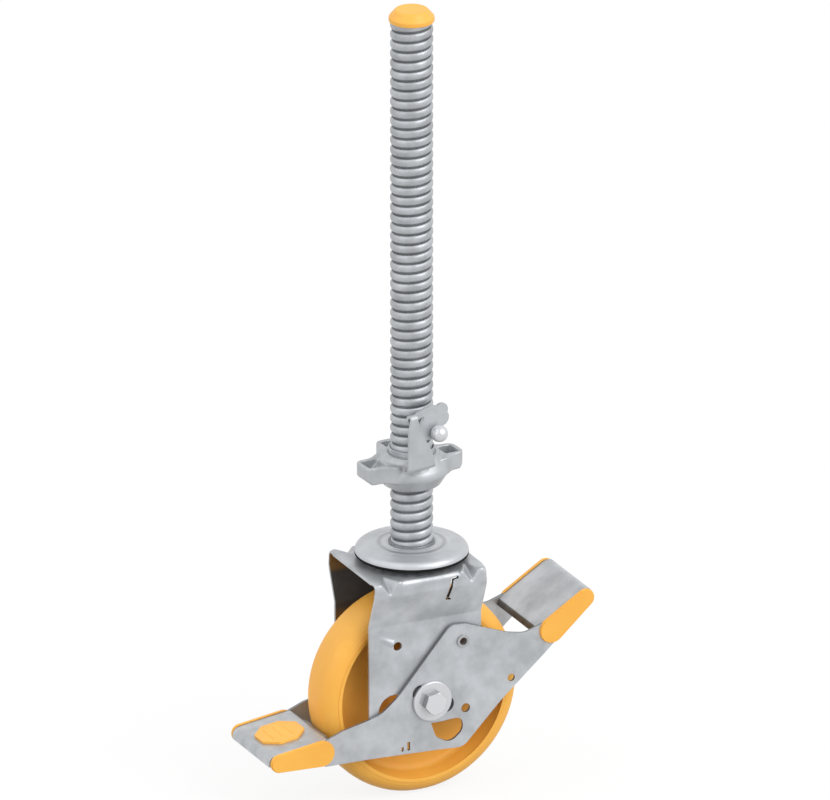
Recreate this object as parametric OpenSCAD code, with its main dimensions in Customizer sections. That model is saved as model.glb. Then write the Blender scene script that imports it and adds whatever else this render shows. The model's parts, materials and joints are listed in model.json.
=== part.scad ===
// Scaffold castor with a threaded spindle, a wing nut with a tube catch, and a two-pedal wheel brake.
// The origin is on the spindle axis, at the foot of the spindle. +Z points up, the axle lies along Y.

/* [Wheel] */
// Diameter of the wheel
wheel_d = 193; // [180:1:196]
// Width of the tread
wheel_w = 50; // [40:1:56]
// Radius of the tread shoulders
shoulder_r = 16; // [8:1:19]
// Thickness of the rim under the tread
rim_t = 14.5; // [12:0.5:24]
// Thickness of the web
web_t = 14; // [8:1:24]
// Diameter of the hub
hub_d = 50; // [42:1:70]
// Length of the hub
hub_l = 60; // [52:1:62]
// Fall of the tread from its middle to its shoulders
crown = 2; // [0.5:0.1:3]

/* [Axle] */
// Height of the stack between the top of the fork and the foot of the spindle
head_h = 16; // [14:0.5:22]
// Diameter of the axle bolt
bolt_d = 12; // [8:0.5:14]
// Hexagon size of the bolt and nut
bolt_af = 19; // [18:0.5:22]
// Height of the bolt head
bolt_head_h = 7; // [5:0.5:9]
// Outer diameter of the bearing sleeve
sleeve_d = 20; // [17:0.5:22]
// Outer diameter of the hub bushes
bush_d = 25; // [23:0.5:30]
// Thickness of the bush flanges
bush_flange_t = 3; // [2:0.5:3.5]
// Diameter of the shoulder washers
washer_d = 37; // [34:0.5:44]
// Thickness of the shoulder washers
washer_t = 3.5; // [2:0.5:5]
// Diameter of the washer shoulder in the brake slot
washer_hub_d = 14.4; // [14.2:0.1:15]

/* [Fork] */
// Sheet thickness of the fork
fork_t = 3.2; // [2.5:0.1:4]
// Width over the two legs
fork_w = 74; // [72:1:80]
// Width over the shoulders
shoulder_w = 100; // [94:1:110]
// Fork length in front of the spindle axis
fork_front = 51; // [48:1:60]
// Fork length behind the spindle axis
fork_back = 59; // [52:1:66]
// Gap between the wheel and the top of the fork
fork_clear = 25.5; // [22:0.5:30]
// Depth of the leaning shoulder of the fork below its top
shoulder_drop = 14; // [13:1:20]
// Height of the leg bend above the axle
leg_z = 76; // [72:1:82]
// Depth of the legs below the axle
leg_below = 24; // [20:1:24]
// Outer radius of the sheet bends
bend_r = 5; // [5:0.5:9]
// Diameter of the large opening in each leg
leg_hole_d = 30; // [20:1:32]
// Diameter of the small hole in each leg
leg_pin_d = 8; // [4:0.5:10]
// Distance of the pressed darts from the ends of the fork
dart_inset = 15; // [14:0.5:20]
// Width of a dart across the bend
dart_w = 18; // [10:0.5:24]
// Reach of a dart across the top plate
dart_top = 18; // [10:0.5:20]
// Reach of a dart down the side
dart_side = 12; // [8:0.5:15]

/* [Swivel bearing] */
// Diameter of the swivel disc
disc_d = 102; // [96:1:108]
// Sheet thickness of the swivel disc
disc_t = 3; // [2:0.1:3.5]
// Diameter of the raised boss on the disc
boss_d = 46; // [42:1:50]
// Height of the rim of the disc above the fork
disc_gap = 4.8; // [4:0.1:5.2]
// Diameter of the upper balls
ball_d = 8; // [7.4:0.1:8.2]
// Pitch diameter of the upper ball ring
ball_ring_d = 76; // [72:1:84]
// Number of balls in the upper ring
ball_count = 22; // [12:1:24]
// Diameter of the lower balls
low_ball_d = 5; // [4:0.1:5]
// Pitch diameter of the lower ball ring
low_ring_d = 32; // [29:1:34]
// Number of balls in the lower ring
low_ball_count = 16; // [8:1:16]
// Diameter of the kingpin
kingpin_d = 16; // [12:0.5:18]
// Height of the kingpin nut
kingpin_nut_h = 7; // [5:0.5:7.5]

/* [Spindle] */
// Crest diameter of the thread
spindle_d = 38.4; // [36:0.1:38.4]
// Depth of the thread
thread_depth = 2.3; // [1:0.1:2.6]
// Pitch of the thread
pitch = 9.1; // [8:0.1:12]
// Length of the spindle
spindle_l = 494; // [300:1:600]
// Bore of the spindle tube
spindle_bore = 24; // [23:0.5:27]
// Diameter of the end cap
cap_d = 41; // [40.4:0.2:44]
// Height of the end cap above the spindle
cap_h = 11; // [7:0.5:14]
// Depth of the cap plug in the tube
plug_l = 22; // [10:1:40]

/* [Wing nut] */
// Height of the underside of the nut above the spindle foot
nut_z = 56; // [10:1:300]
// Height of the nut
nut_h = 35; // [32:1:40]
// Largest diameter of the bowl
bowl_d = 66; // [62:1:70]
// Turn of the nut as it stands
nut_turn = 3.5; // [-45:0.5:45]
// Reach of the long wing from the spindle axis
wing_reach = 51.5; // [46:0.5:60]
// Reach of the other two wings
short_reach = 47.5; // [44:0.5:60]
// Width of a wing
wing_w = 26; // [20:1:28]
// Height of the wings
wing_h = 16; // [14:1:18]
// Wall thickness of the wings
wing_wall = 4.2; // [2:0.1:6]
// Outer diameter of the threaded insert
insert_d = 41.6; // [41:0.2:42]
// Diameter of the flange that carries the nut on its insert
flange_d = 48; // [46:0.5:50]
// Thickness of that flange
flange_t = 2.6; // [2:0.1:4]
// Diameter of the tube seat on top of the nut
seat_d = 49; // [48.5:0.5:50]
// Depth of the tube seat below the top of the insert
seat_drop = 5; // [3:0.5:8]

/* [Catch] */
// Sheet thickness of the catch lever
catch_t = 2.5; // [1.5:0.1:3]
// Place of the catch round the nut, past the gap between the side wings
catch_turn = 9; // [-10:0.5:12]
// Distance of the lever's outer face from the spindle axis
catch_out = 36; // [35.5:0.5:39]
// Width of the lever at its foot
catch_w = 31; // [29:1:34]
// Diameter of the ball on the catch pin
catch_ball_d = 15.5; // [12:0.5:18]
// Diameter of the catch pin
catch_pin_d = 9; // [6:0.5:11]
// Diameter of the catch hinge pin
catch_hinge_d = 4; // [3:0.1:4.4]

/* [Brake] */
// Sheet thickness of the brake plates
plate_t = 2.7; // [2:0.1:3.4]
// Gap between a leg and its brake plate
plate_gap = 1.7; // [1.4:0.1:3]
// Pivot in front of the axle
pivot_x = 31; // [28:0.5:33]
// Pivot above the axle
pivot_z = 51.4; // [48:0.5:54]
// Outer diameter of the pivot rivet
rivet_d = 10; // [9:0.5:11]
// Bore of the pivot rivet
rivet_bore = 7; // [4:0.5:7.4]
// Diameter of the rivet heads
rivet_head_d = 12; // [11:0.5:18]
// Turn of the pedals between braked and free
brake_turn = 14.5; // [10:0.5:14.5]
// Slot length left beyond the braked position, in degrees
slot_spare = 13; // [2:0.5:13]
// Width of the slot round the axle
slot_w = 15.4; // [15.2:0.1:16]
// Sheet thickness of the pedals
pedal_t = 2.5; // [1.5:0.1:3]
// Length of a pedal from its inner end centre to its outer edge
pedal_reach = 50.5; // [46:0.5:58]
// Gap between the wheel and the near centre of the stop pedal's guard
stop_clear = 11.3; // [11:0.1:13]
// Length between the end centres of a pedal cap
pedal_l = 41.5; // [38:0.5:43]
// Radius of the inner end of a pedal cap
cap_r1 = 12; // [11.5:0.1:13]
// Radius of the outer end of a pedal cap
cap_r2 = 8.4; // [8:0.1:10]
// Lip of a pedal cap over the edge of its brake plate
cap_wall = 1; // [0.6:0.1:2]
// Thickness of the caps outside the brake plates
cap_face = 2.4; // [2:0.1:4.5]
// Bevel round the face of a cap
cap_bevel = 1.2; // [0.4:0.1:1.8]
// Inner lip of a pedal behind its end centre
pedal_back = 9.5; // [6:0.5:11]
// Length of the lip at the inner end of the stop pedal
stop_lip = 9; // [6:0.5:10]
// Length of the lip at the inner end of the release pedal
release_lip = 6; // [4:0.5:8]
// Width across corners of the pedal badge
badge_d = 45; // [30:1:46]
// Thickness of the pedal badge
badge_t = 2.6; // [1:0.1:3]
// Width of the brake shoe
shoe_w = 44; // [30:1:50]
// Gap between the shoe and the tread when braked
shoe_gap = 0.5; // [0.4:0.1:0.8]

/* [Fits] */
// Radial clearance of parts that turn on each other
run_fit = 0.05; // [0.02:0.01:0.1]
// Radial clearance of bolts and pins in their holes
hole_fit = 0.1; // [0.05:0.05:0.2]
// Gap between moving faces
face_gap = 0.3; // [0.2:0.1:0.4]

/* [Hidden] */
$fn = 96;

orange = [0.98, 0.70, 0.27];
zinc = [0.74, 0.76, 0.78];
steel = [0.62, 0.64, 0.66];
eps = 0.01;

wheel_r = wheel_d / 2;
fork_top = wheel_r + fork_clear;
axle_drop = fork_top + head_h;
shoulder_z = fork_top - shoulder_drop;
leg_out = fork_w / 2;
leg_in = leg_out - fork_t;
plate_in = leg_out + plate_gap;
plate_out = plate_in + plate_t;
washer_in = plate_out + face_gap;
washer_out = washer_in + washer_t;
pivot_r = norm([pivot_x, pivot_z]);
pivot_a = atan2(-pivot_z, -pivot_x);
top_z = fork_top - axle_drop;
rim_z = top_z + disc_gap;
leg_hole = [-34.5, -6];
leg_pin = [-31, 54.8];

// Fillets: a closed outline whose corners have the given radii.
function unit(v) = v / norm(v);
function corner(a, b, c, r) =
    let (u = unit(a - b), v = unit(c - b), half = acos(u * v) / 2)
    let (d = r / tan(half), m = b + unit(u + v) * r / sin(half))
    let (s = b + u * d - m, e = b + v * d - m)
    let (sa = atan2(s[1], s[0]), turn = (atan2(e[1], e[0]) - sa + 540) % 360 - 180)
    let (n = max(1, ceil(abs(turn) / 12)))
    [for (i = [0:n]) m + r * [cos(sa + turn * i / n), sin(sa + turn * i / n)]];
function rounded(p, radii) = [
    for (i = [0:len(p) - 1])
        let (q = [p[(i + len(p) - 1) % len(p)], p[i], p[(i + 1) % len(p)]])
        for (s = radii[i] > 0 ? corner(q[0], q[1], q[2], radii[i]) : [p[i]]) s];

// The same for an open line, with a corner's outer radius at its bends.
function shift(a, b, t) = let (u = unit(b - a)) [a[0] + u[1] * t, a[1] - u[0] * t];
function cross_point(a, b, c, d) =
    let (r = b - a, s = d - c, k = ((c[0] - a[0]) * s[1] - (c[1] - a[1]) * s[0]) / (r[0] * s[1] - r[1] * s[0]))
    a + r * k;
function inner_line(p, t) = [
    for (i = [0:len(p) - 1])
        i == 0 ? shift(p[0], p[1], t)
        : i == len(p) - 1 ? shift(p[i - 1], p[i], t) + (p[i] - p[i - 1])
        : cross_point(shift(p[i - 1], p[i], t), shift(p[i - 1], p[i], t) + (p[i] - p[i - 1]),
                      shift(p[i], p[i + 1], t), shift(p[i], p[i + 1], t) + (p[i + 1] - p[i]))];
function bent(p, radii) = [
    for (i = [0:len(p) - 1])
        for (s = i > 0 && i < len(p) - 1 ? corner(p[i - 1], p[i], p[i + 1], radii[i]) : [p[i]]) s];
function reversed(p) = [for (i = [len(p) - 1:-1:0]) p[i]];

// A band with round ends of two sizes, and straight sides that touch both.
function arc(m, r, from, to) =
    let (n = ceil(abs(to - from) / 7.5))
    [for (i = [0:n]) m + r * [cos(from + (to - from) * i / n), sin(from + (to - from) * i / n)]];
module taper_band(a, ra, b, rb) {
    base = atan2(b[1] - a[1], b[0] - a[0]);
    half = acos((ra - rb) / norm(b - a));
    polygon(concat(arc(a, ra, base + half, base + 360 - half), arc(b, rb, base - half, base + half)));
}

module at_axle() {
    translate([0, 0, -axle_drop]) children();
}
// Draws an X, Z outline and gives it its thickness along Y, from y0 to y1.
module side_sheet(y0, y1) {
    translate([0, y1, 0]) rotate([90, 0, 0]) linear_extrude(y1 - y0) children();
}
module along_y(r, y0, y1) {
    translate([0, y1, 0]) rotate([90, 0, 0]) cylinder(r = r, h = y1 - y0);
}
module both_sides() {
    children();
    mirror([0, 1, 0]) children();
}
module hexagon(af, h) {
    cylinder(d = af / cos(30), h = h, $fn = 6);
}

// Spindle
module spindle_tube() {
    color(zinc)
    rotate_extrude() difference() {
        union() {
            translate([spindle_bore / 2, 0]) square([spindle_d / 2 - thread_depth - spindle_bore / 2, spindle_l]);
            for (i = [0:ceil(spindle_l / pitch)])
                translate([spindle_d / 2 - crest_r, (i + 0.5) * pitch]) circle(r = crest_r, $fn = 48);
        }
        translate([0, -pitch]) square([spindle_d, pitch]);
        translate([0, spindle_l]) square([spindle_d, 3 * pitch]);
        square([spindle_bore / 2, spindle_l]);
    }
}
crest_r = pitch * 0.32;

module end_cap() {
    skirt = 4;
    color(orange)
    translate([0, 0, spindle_l]) rotate_extrude() {
        polygon(rounded([[0, 0], [cap_d / 2, 0], [cap_d / 2, skirt], [cap_d / 2 - 6, cap_h], [0, cap_h]],
                        [0, 0.8, 2.5, 3, 0]));
        translate([0, -plug_l]) square([spindle_bore / 2 - run_fit, plug_l + eps]);
    }
}

// The weld bead that joins the tube to the swivel disc.
module foot_weld() {
    root = spindle_d / 2;
    color(steel)
    rotate_extrude() difference() {
        translate([root - 0.6, 0]) polygon(rounded([[0.65, 0], [2.6, 0], [2, 1.1], [1.2, 1.6], [0.65, 1.6]], [0, 0.3, 0.5, 0.3, 0]));
        square([root + run_fit, 10]);
    }
}

// Swivel disc: a pressed saucer with a ball track under its shoulder.
function disc_top() = [
    [kingpin_d / 2 + hole_fit, 0],
    [boss_d / 2, 0],
    [boss_d / 2 + 1, -0.5],
    [ball_ring_d / 2, -1.5],
    [disc_d / 2, -3],
    [disc_d / 2, rim_z]];
function disc_under() = [
    [disc_d / 2 - 2, rim_z],
    [ball_ring_d / 2 + 5, -5 - disc_t - 0.6],
    [ball_ring_d / 2 - 5, -3.4 - disc_t],
    [boss_d / 2 + 1, -2.6 - disc_t],
    [boss_d / 2 - 2.2, -disc_t],
    [kingpin_d / 2 + hole_fit, -disc_t]];

module swivel_disc() {
    color(zinc)
    rotate_extrude()
        polygon(rounded(concat(disc_top(), disc_under()), [0, 0.4, 0.4, 20, 6.5, 0.6, 0, 6, 6, 1, 1, 0]));
}

module kingpin() {
    plug_h = 9;
    color(steel) {
        rotate_extrude() polygon(rounded([[0, 0], [spindle_bore / 2 - 0.5, 0], [spindle_bore / 2 - 0.5, plug_h - 2],
                                          [spindle_bore / 2 - 2.5, plug_h], [0, plug_h]], [0, 0, 0.5, 0.5, 0]));
        translate([0, 0, race_z - kingpin_nut_h - 1.5]) cylinder(d = kingpin_d, h = kingpin_nut_h + 1.5 - race_z + eps);
    }
}

race_t = 2.2;
race_z = top_z - fork_t - low_ball_d - 2 * face_gap - race_t;

module kingpin_nut() {
    color(steel)
    translate([0, 0, race_z - kingpin_nut_h]) difference() {
        intersection() {
            hexagon(26, kingpin_nut_h);
            cylinder(r1 = 13.6, r2 = 15.2, h = kingpin_nut_h);
        }
        translate([0, 0, -1]) cylinder(r = kingpin_d / 2 + run_fit, h = kingpin_nut_h + 2);
    }
}

module upper_balls() {
    color(steel)
    for (i = [0:ball_count - 1])
        rotate([0, 0, i * 360 / ball_count])
            translate([ball_ring_d / 2, 0, top_z + ball_d / 2 + face_gap]) sphere(d = ball_d, $fn = 32);
}
module lower_balls() {
    color(steel)
    for (i = [0:low_ball_count - 1])
        rotate([0, 0, i * 360 / low_ball_count])
            translate([low_ring_d / 2, 0, top_z - fork_t - low_ball_d / 2 - face_gap]) sphere(d = low_ball_d, $fn = 32);
}
module lower_race() {
    r = low_ring_d / 2 + low_ball_d / 2;
    color(zinc)
    translate([0, 0, race_z]) rotate_extrude() difference() {
        polygon(rounded([[kingpin_d / 2 + hole_fit, 0], [r + 2.5, 0], [r + 3.5, 4.2], [r + 1.3, 4.2],
                         [r + 0.8, race_t], [kingpin_d / 2 + hole_fit, race_t]], [0, 1.5, 0.6, 0.6, 0.5, 0]));
    }
}

// Fork: one pressed sheet, folded down on both sides.
function fork_line() = [
    [-leg_out, -leg_below - 5],
    [-leg_out, leg_z],
    [-shoulder_w / 2, shoulder_z],
    [-shoulder_w / 2, fork_top],
    [shoulder_w / 2, fork_top],
    [shoulder_w / 2, shoulder_z],
    [leg_out, leg_z],
    [leg_out, -leg_below - 5]];
inner_radii = [for (i = [0:7]) i == 1 || i == 6 ? bend_r + fork_t : i == 0 || i == 7 ? 0 : bend_r - fork_t];
outer_radii = [for (i = [0:7]) i == 1 || i == 6 ? bend_r : i == 0 || i == 7 ? 0 : bend_r];

module fork_section() {
    polygon(concat(bent(fork_line(), outer_radii), reversed(bent(inner_line(fork_line(), fork_t), inner_radii))));
}
module fork_length() {
    translate([-fork_back, 0, 0]) rotate([90, 0, 90]) linear_extrude(fork_back + fork_front) children();
}
// Outline of a leg seen from the side, and of the top plate seen from above.
module leg_outline() {
    polygon(rounded([[-fork_back, 140], [-fork_back, -14], [-44, -leg_below], [23, -leg_below],
                     [fork_front, 8], [fork_front, 140]], [0, 12, 14, 16, 26, 0]));
}
module top_outline() {
    w = shoulder_w / 2 + 2;
    polygon(rounded([[-fork_back, -w], [fork_front, -w], [fork_front, w], [-fork_back, w]], [4, 4, 4, 4]));
}
// A dart is a V pressed into the bend between the top plate and a side. Its valley runs from a
// point on the top plate to a point on the side, and its sheet is as thick as the rest.
module dart_prism(x, deeper) {
    depth = dart_top * dart_side / norm([dart_top, dart_side]);
    slope = atan2(dart_side, dart_top);
    half = dart_w / 2;
    far = 3;
    translate([x, -shoulder_w / 2 + dart_top, fork_top]) rotate([slope, 0, 0]) rotate([90, 0, 0])
        translate([0, -deeper, -30]) linear_extrude(60)
            polygon([[0, 0], [half * far, depth * far], [-half * far, depth * far]]);
}
module darts(deeper) {
    both_sides() for (x = [fork_front - dart_inset, -fork_back + dart_inset]) dart_prism(x, deeper);
}
module fork() {
    color(zinc) at_axle() difference() {
        intersection() {
            union() {
                fork_length() fork_section();
                intersection() {
                    fork_length() translate([0, shoulder_z]) difference() {
                        translate([-shoulder_w / 2 + eps, -4]) square([shoulder_w - 2 * eps, fork_top - shoulder_z + 4 - eps]);
                        translate([-shoulder_w / 2 + 24, -5]) square([shoulder_w - 48, 100]);
                    }
                    darts(fork_t * 1.3);
                }
            }
            side_sheet(-shoulder_w, shoulder_w) leg_outline();
            translate([0, 0, -leg_below - 1]) linear_extrude(fork_top + leg_below + 2) top_outline();
        }
        darts(0);
        cylinder(r = kingpin_d / 2 + 1.5, h = 200);
        both_sides() {
            translate([leg_hole[0], 0, leg_hole[1]]) along_y(leg_hole_d / 2, -leg_out - 1, -leg_in + 1);
            translate([leg_pin[0], 0, leg_pin[1]]) along_y(leg_pin_d / 2, -leg_out - 1, -leg_in + 1);
            translate([pivot_x, 0, pivot_z]) along_y(rivet_d / 2 + run_fit, -leg_out - 1, -leg_in + 1);
            along_y(bolt_d / 2 + hole_fit, -leg_out - 1, -leg_in + 1);
            lance();
        }
    }
}
// The narrow lanced slot below the front edge, with a short foot at each end.
module lance() {
    side_sheet(-shoulder_w / 2 - 1, -shoulder_w / 2 + 12) {
        polygon([[15.8, fork_top - 5], [22.2, fork_top - 4], [22.2, fork_top - 6], [17.6, fork_top - 6.6],
                 [14.6, fork_top - 25.2], [17, fork_top - 26], [16.8, fork_top - 27.6], [12.6, fork_top - 26.4]]);
    }
}

// Axle
module axle_bolt() {
    color([0.86, 0.87, 0.88]) at_axle() difference() {
        union() {
            along_y(bolt_d / 2, -washer_out, washer_out + bolt_head_h + 4);
            translate([0, -washer_out, 0]) rotate([90, 0, 0]) rotate([0, 0, 12]) intersection() {
                hexagon(bolt_af, bolt_head_h);
                cylinder(r1 = bolt_af, r2 = bolt_af / 2 + 0.3, h = bolt_head_h + 0.1);
            }
        }
        translate([0, washer_out + bolt_head_h + 4, 0]) rotate([-90, 0, 0]) cylinder(r = 1.5, h = 1);
    }
}
module axle_nut() {
    color([0.86, 0.87, 0.88]) at_axle()
    translate([0, washer_out, 0]) rotate([-90, 0, 0]) difference() {
        union() {
            hexagon(bolt_af, bolt_head_h);
            cylinder(d = bolt_af - 2, h = bolt_head_h + 2.5);
        }
        translate([0, 0, -1]) cylinder(r = bolt_d / 2 + run_fit, h = bolt_head_h + 5);
    }
}
module shoulder_washers() {
    color([0.80, 0.81, 0.82]) at_axle() both_sides() difference() {
        union() {
            along_y(washer_hub_d / 2, -washer_out, -leg_out);
            translate([0, -washer_in, 0]) rotate([90, 0, 0]) rotate_extrude()
                polygon(rounded([[0, 0], [washer_d / 2, 0], [washer_d / 2, washer_t], [0, washer_t]], [0, 0, 1, 0]));
        }
        along_y(bolt_d / 2 + hole_fit, -washer_out - 1, -leg_out + 1);
    }
}
module axle_sleeve() {
    color(steel) at_axle() difference() {
        along_y(sleeve_d / 2, -leg_in, leg_in);
        along_y(bolt_d / 2 + hole_fit, -leg_in - 1, leg_in + 1);
    }
}

// Wheel: one moulding with a crowned tread, a deep recess on each side and a long hub.
module wheel() {
    lip = wheel_r - rim_t;
    color(orange) at_axle() rotate([90, 0, 0])
        rotate_extrude($fn = 180)
            polygon(rounded([
                [bush_d / 2, -hub_l / 2], [hub_d / 2 - 2, -hub_l / 2], [hub_d / 2 + 1, -web_t / 2],
                [lip - 5, -web_t / 2], [lip, -wheel_w / 2 + 1.2], [lip + 1.2, -wheel_w / 2],
                [wheel_r - crown, -wheel_w / 2], [wheel_r, -wheel_w / 8], [wheel_r, wheel_w / 8],
                [wheel_r - crown, wheel_w / 2],
                [lip + 1.2, wheel_w / 2], [lip, wheel_w / 2 - 1.2], [lip - 5, web_t / 2],
                [hub_d / 2 + 1, web_t / 2], [hub_d / 2 - 2, hub_l / 2], [bush_d / 2, hub_l / 2]],
                [0, 2, 5, 6, 0.8, 0.8, shoulder_r, 20, 20, shoulder_r, 0.8, 0.8, 6, 5, 2, 0]));
}
module hub_bushes() {
    color([0.9, 0.88, 0.82]) at_axle() both_sides() difference() {
        union() {
            along_y(bush_d / 2, -hub_l / 2, -hub_l / 2 + 22);
            along_y(bush_d / 2 + 4, -hub_l / 2 - bush_flange_t, -hub_l / 2);
        }
        along_y(sleeve_d / 2 + run_fit, -hub_l, hub_l);
    }
}

// Brake rocker: a plate outside each leg, joined by the two pedals.
stop_a = [-(wheel_r + stop_clear), -33.1];
release_a = [118.5, 47.5];
stop_turn = 183.5;
release_turn = 37.4;
stop_b = stop_a + pedal_l * [cos(stop_turn), sin(stop_turn)];
release_b = release_a + pedal_l * [cos(release_turn), sin(release_turn)];

module stop_band(inset) {
    taper_band(stop_a, cap_r1 - inset, stop_b, cap_r2 - inset);
}
module release_band(inset) {
    taper_band(release_a, cap_r1 - inset, release_b, cap_r2 - inset);
}
// The plate runs out at both ends into a band that carries a pedal and its cap.
function band_end(a, ra, b, rb) =
    let (base = atan2(b[1] - a[1], b[0] - a[0]), half = acos((ra - rb) / norm(b - a)))
    concat([a + ra * [cos(base + half), sin(base + half)]], arc(b, rb, base + half, base - half),
           [a + ra * [cos(base - half), sin(base - half)]]);
module plate_outline() {
    r1 = cap_r1 - cap_wall;
    r2 = cap_r2 - cap_wall;
    top = rounded([stop_a + [3.8, 11.1], [-88, -15.5], [-50, -6.5], [-31.7, 9], [19, 68.5], [34, 67.5], [74, 52.5], [92, 49],
                   [112, 56]], [0, 8, 26, 30, 10, 8, 30, 16, 0]);
    bottom = rounded([[110, 25], [68, -12], [31.5, -49.8], [5, -48.5], [-60, -46.5], stop_a + [3.8, -13.4], stop_a + [-0.2, -11.1]],
                     [0, 0, 12, 0, 0, 4, 0]);
    polygon(concat(top, band_end(release_a, r1, release_b, r2), bottom, band_end(stop_a, r1, stop_b, r2)));
}
// The slot follows the axle's path round the pivot.
module axle_slot() {
    a0 = pivot_a - slot_spare;
    a1 = pivot_a + brake_turn + 0.6;
    translate([pivot_x, pivot_z]) {
        for (a = [a0, a1]) rotate(a) translate([pivot_r, 0]) circle(d = slot_w);
        polygon(concat(arc([0, 0], pivot_r + slot_w / 2, a0, a1), arc([0, 0], pivot_r - slot_w / 2, a1, a0)));
    }
}
module brake_plate() {
    side_sheet(-plate_out, -plate_in) difference() {
        plate_outline();
        axle_slot();
        translate([pivot_x, pivot_z]) circle(r = rivet_d / 2 + run_fit);
        translate([33.7, -13]) circle(d = 8.5);
        translate([78.6, 8.4]) circle(d = 7);
        polygon(rounded([[-0.5, -21.5], [29.5, -21], [32, -33], [18.5, -44], [4.5, -36]], [1, 6, 10, 10, 8]));
        translate([-23.6, -44.5]) square([2.6, 8]);
        translate([-29.4, -44.5]) square([2, 4]);
    }
}
module brake_plate_near() {
    color(zinc) at_axle() brake_plate();
}
module brake_plate_far() {
    color(zinc) at_axle() mirror([0, 1, 0]) brake_plate();
}

// A pedal is one folded sheet between the plates: a short lip, the tread, and a rolled outer end.
pedal_fall = asin((cap_r1 - cap_r2) / pedal_l);
function tread_v(u) = (cap_r1 - cap_wall) / cos(pedal_fall) - u * tan(pedal_fall);
function pedal_line(lip, lean) =
    let (u1 = pedal_reach, v0 = tread_v(-pedal_back))
    [[-pedal_back - lip * sin(lean), v0 - lip * cos(lean)], [-pedal_back, v0], [u1, tread_v(u1)], [u1, -3]];
module pedal_section(a, turn, side, lip, lean) {
    roll = cap_r2 - cap_wall - 0.6;
    translate(a) rotate(turn) mirror([0, side > 0 ? 0 : 1, 0])
        polygon(concat(bent(pedal_line(lip, lean), [0, pedal_t + 1.5, roll, 0]),
                       reversed(bent(inner_line(pedal_line(lip, lean), pedal_t), [0, 1.5, roll - pedal_t, 0]))));
}
module stop_pedal() {
    color(zinc) at_axle() side_sheet(-plate_in, plate_in) pedal_section(stop_a, stop_turn, -1, stop_lip, 0);
}
module release_pedal() {
    color(zinc) at_axle() side_sheet(-plate_in, plate_in) pedal_section(release_a, release_turn, 1, release_lip, 50);
}

// Orange guards on the ends of the brake plates, with a bevel and a lip over the plate's edge.
module stop_pedal_caps() {
    color(orange) at_axle() both_sides() {
        side_sheet(-plate_out - cap_face, -plate_out - cap_face + cap_bevel) stop_band(cap_bevel / 2);
        side_sheet(-plate_out - cap_face + cap_bevel, -plate_out) stop_band(0);
        side_sheet(-plate_out, -plate_out + plate_t / 2) difference() {
            stop_band(0);
            plate_outline();
        }
    }
}
module release_pedal_caps() {
    color(orange) at_axle() both_sides() {
        side_sheet(-plate_out - cap_face, -plate_out - cap_face + cap_bevel) release_band(cap_bevel / 2);
        side_sheet(-plate_out - cap_face + cap_bevel, -plate_out) release_band(0);
        side_sheet(-plate_out, -plate_out + plate_t / 2) difference() {
            release_band(0);
            plate_outline();
        }
    }
}

// Raised octagon on the stop pedal, with plain bars in place of lettering.
module stop_badge() {
    mid = pedal_l / 2;
    color(orange) at_axle() translate([stop_a[0], 0, stop_a[1]]) rotate([0, 180 - stop_turn, 0])
        translate([-mid, 0, 0]) rotate([0, -pedal_fall, 0]) translate([0, 0, tread_v(mid) * cos(pedal_fall)]) {
            rotate([0, 0, 22.5]) cylinder(d = badge_d, h = badge_t, $fn = 8);
            for (x = [-9, 0, 9]) translate([x - 1.5, -12, badge_t - eps]) cube([3, 24, 0.6]);
        }
}

// The shoe backs onto the lip of the stop pedal, and its face follows the tread.
module brake_shoe() {
    r0 = wheel_r + shoe_gap;
    color(steel) at_axle() side_sheet(-shoe_w / 2, shoe_w / 2) difference() {
        polygon(concat(arc([0, 0], r0 + 0.15, 195.5, 205.5), [stop_a + [-4.2, -12.9], stop_a + [-4.2, 9.1]]));
        translate(stop_a) rotate(stop_turn) translate([-pedal_back, -60]) square([60, 120]);
        translate(stop_a + [-12, -27]) square([44, 16]);
    }
}

// Hollow rivets on which the rocker turns, one on each leg.
module pivot_rivets() {
    color(steel) at_axle() both_sides() translate([pivot_x, 0, pivot_z]) difference() {
        union() {
            along_y(rivet_d / 2, -plate_out - face_gap, -leg_in);
            along_y(rivet_head_d / 2, -plate_out - face_gap - 1.2, -plate_out - face_gap);
            along_y(rivet_head_d / 2, -leg_in, -leg_in + 1.5);
        }
        along_y(rivet_bore / 2, -plate_out - 5, 0);
    }
}
module pivot_spacers() {
    color(steel) at_axle() both_sides() translate([pivot_x, 0, pivot_z]) difference() {
        along_y(rivet_d / 2 + 5, -plate_in + face_gap / 2, -leg_out);
        along_y(rivet_d / 2 + run_fit, -plate_out, 0);
    }
}

// Wing nut
module at_nut() {
    translate([0, 0, nut_z]) rotate([0, 0, nut_turn]) children();
}
module at_catch() {
    at_nut() rotate([0, 0, catch_turn]) children();
}
nut_bore = spindle_d / 2 + face_gap;

module thread_insert() {
    color(steel) translate([0, 0, nut_z]) rotate_extrude()
        polygon(rounded([[nut_bore, 0.5], [flange_d / 2, 0.5], [flange_d / 2, 0.5 + flange_t], [insert_d / 2, 0.5 + flange_t],
                         [insert_d / 2, nut_h], [nut_bore, nut_h]], [0.4, 0.4, 0.4, 0, 0.5, 0.4]));
}

// The shell runs on the insert, rests on its flange, and has the tube seat on top.
module bowl_section() {
    r = bowl_d / 2;
    foot = 0.5 + flange_t + face_gap;
    seat = nut_h - seat_drop;
    well = flange_d / 2 + face_gap;
    polygon(rounded([[insert_d / 2 - 3, foot], [well, foot], [well, 0], [well + 1.6, 0], [r - 3.4, 6], [r, 12], [r - 1.2, 17.5],
                     [seat_d / 2, seat - 1.5], [seat_d / 2, seat], [insert_d / 2 - 3, seat]], [0, 0, 0, 1, 8, 6, 6, 4, 0.6, 0]));
}
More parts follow.
